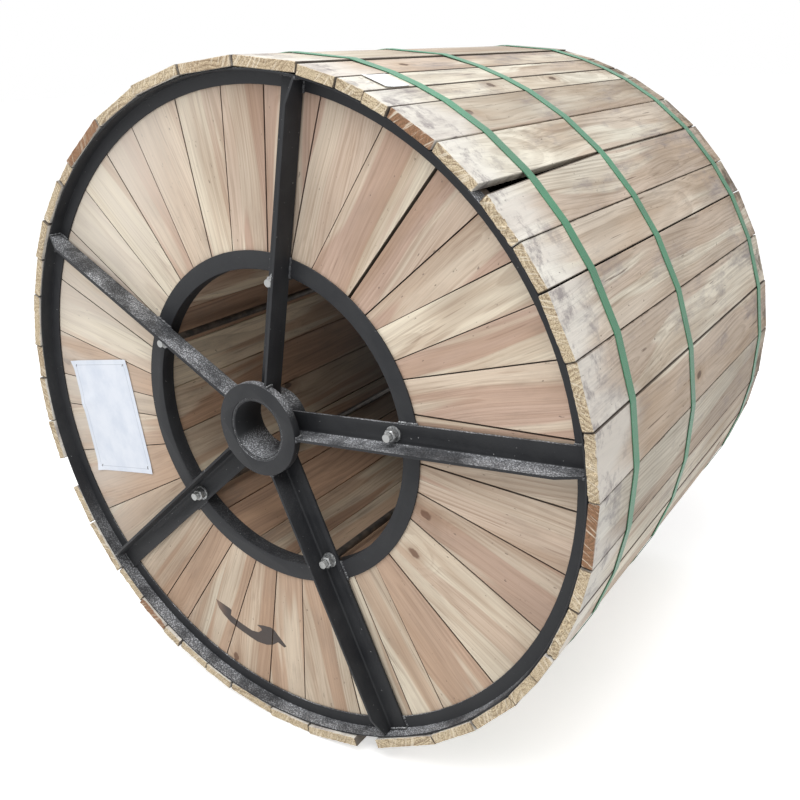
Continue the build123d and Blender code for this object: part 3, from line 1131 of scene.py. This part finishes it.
def makeArrow():
    look = arrowLook
    clearSelection()
    bpy.ops.mesh.primitive_circle_add(vertices=len(look["points"]), radius=0.1, fill_type="NGON")
    stencil = bpy.context.object
    for vertex, (x, z) in zip(stencil.data.vertices, look["points"]):
        vertex.co = (x, -look["face"] - look["cut"] / 2, z)
    editAll(stencil)
    bpy.ops.mesh.extrude_region_move(TRANSFORM_OT_translate={"value": (0, look["cut"], 0)})
    bpy.ops.mesh.select_all(action="SELECT")
    bpy.ops.mesh.quads_convert_to_tris()
    bpy.ops.mesh.normals_make_consistent(inside=False)
    leaveEdit()
    arrow = twinOf(frontBoards)
    arrow.parent = None
    arrow.name = arrow.data.name = "rollArrow"
    for key in list(arrow.keys()):
        del arrow[key]
    applyModifier(arrow, "BOOLEAN", operation="INTERSECT", object=stencil, solver="EXACT")
    bpy.data.objects.remove(stencil)
    moveMesh(arrow, to=(0, -look["proud"], 0))
    finishPiece(arrow, arrowPaint, "flange_timber")


makeArrow()
print("arrow made")


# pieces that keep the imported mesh

for node, material in {
    "tie_rods": rodSteel, "cable_winding": cableJacket,
    "front_strap": greenStrap, "middle_strap": greenStrap, "back_strap": greenStrap,
}.items():
    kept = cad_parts[node]
    kept.data.materials.clear()
    kept.data.materials.append(material)


# camera

cameraLook = {
    "place": (0.9218, -1.3905, 0.5327), "yaw": -0.5722, "pitch": -0.3202, "roll": 2.65,
    "focal": 929.35, "centre": (413.65, 336.93), "picture": 800, "sensor": 36,
}


def makeCamera():
    look = cameraLook
    lens = bpy.data.cameras.new("camera")
    lens.sensor_width = look["sensor"]
    lens.lens = look["focal"] * look["sensor"] / look["picture"]
    lens.shift_x = 0.5 - look["centre"][0] / look["picture"]
    lens.shift_y = look["centre"][1] / look["picture"] - 0.5
    lens.clip_end = 100
    camera = bpy.data.objects.new("camera", lens)
    bpy.context.scene.collection.objects.link(camera)
    aim = Matrix.Rotation(-look["yaw"], 4, "Z") @ Matrix.Rotation(math.pi / 2 + look["pitch"], 4, "X")
    lean = Matrix.Rotation(math.radians(look["roll"]), 4, "Y")
    camera.matrix_world = Matrix.Translation(look["place"]) @ lean @ aim
    bpy.context.scene.camera = camera


makeCamera()


# floor, world and lamps

stageLook = {
    "floor": -0.5414, "wide": 60, "white": 0.93, "glow": 0.48, "ambient": 0.62,
    "lamps": (("key", (0.5, -1.7, 3.0), 2.4, 95), ("fill", (-2.8, -2.2, 1.0), 2.5, 16)),
}


def seenRays(tree):
    path = addNode(tree, "ShaderNodeLightPath")
    seen = doMath(tree, "MAXIMUM", path.outputs["Is Camera Ray"], path.outputs["Is Glossy Ray"])
    return doMath(tree, "MAXIMUM", seen, path.outputs["Is Transmission Ray"])


def makeStage():
    look = stageLook
    clearSelection()
    bpy.ops.mesh.primitive_plane_add(size=look["wide"], location=(0, 0, look["floor"]))
    floor = bpy.context.object
    placeIntoMesh(floor)
    floor.name = "floor"
    material, tree, shader = newMaterial("floorWhite")
    shader.inputs["Base Color"].default_value = (look["white"], look["white"], look["white"], 1)
    shader.inputs["Roughness"].default_value = 0.9
    shader.inputs["Specular IOR Level"].default_value = 0.1
    shader.inputs["Emission Color"].default_value = (1, 1, 1, 1)
    tree.links.new(times(tree, seenRays(tree), look["glow"]), shader.inputs["Emission Strength"])
    floor.data.materials.append(material)

    world = bpy.data.worlds.new("studio")
    bpy.context.scene.world = world
    world.use_nodes = True
    tree = world.node_tree
    plain = tree.nodes["Background"]
    plain.inputs[0].default_value = (1, 1, 1, 1)
    plain.inputs[1].default_value = look["ambient"]
    shown = addNode(tree, "ShaderNodeBackground", Color=(1, 1, 1, 1), Strength=1.0)
    mix = addNode(tree, "ShaderNodeMixShader", Fac=seenRays(tree))
    surface = tree.nodes["World Output"].inputs[0]
    for node, socket in ((plain, mix.inputs[1]), (shown, mix.inputs[2]), (mix, surface)):
        tree.links.new(node.outputs[0], socket)

    for name, place, size, power in look["lamps"]:
        data = bpy.data.lights.new(name, "AREA")
        data.size = size
        data.energy = power
        lamp = bpy.data.objects.new(name, data)
        bpy.context.scene.collection.objects.link(lamp)
        lamp.location = place
        lamp.rotation_euler = (-Vector(place)).to_track_quat("-Z", "Y").to_euler()


makeStage()
bpy.context.scene.view_settings.view_transform = "Standard"
print("camera, floor and lamps set")
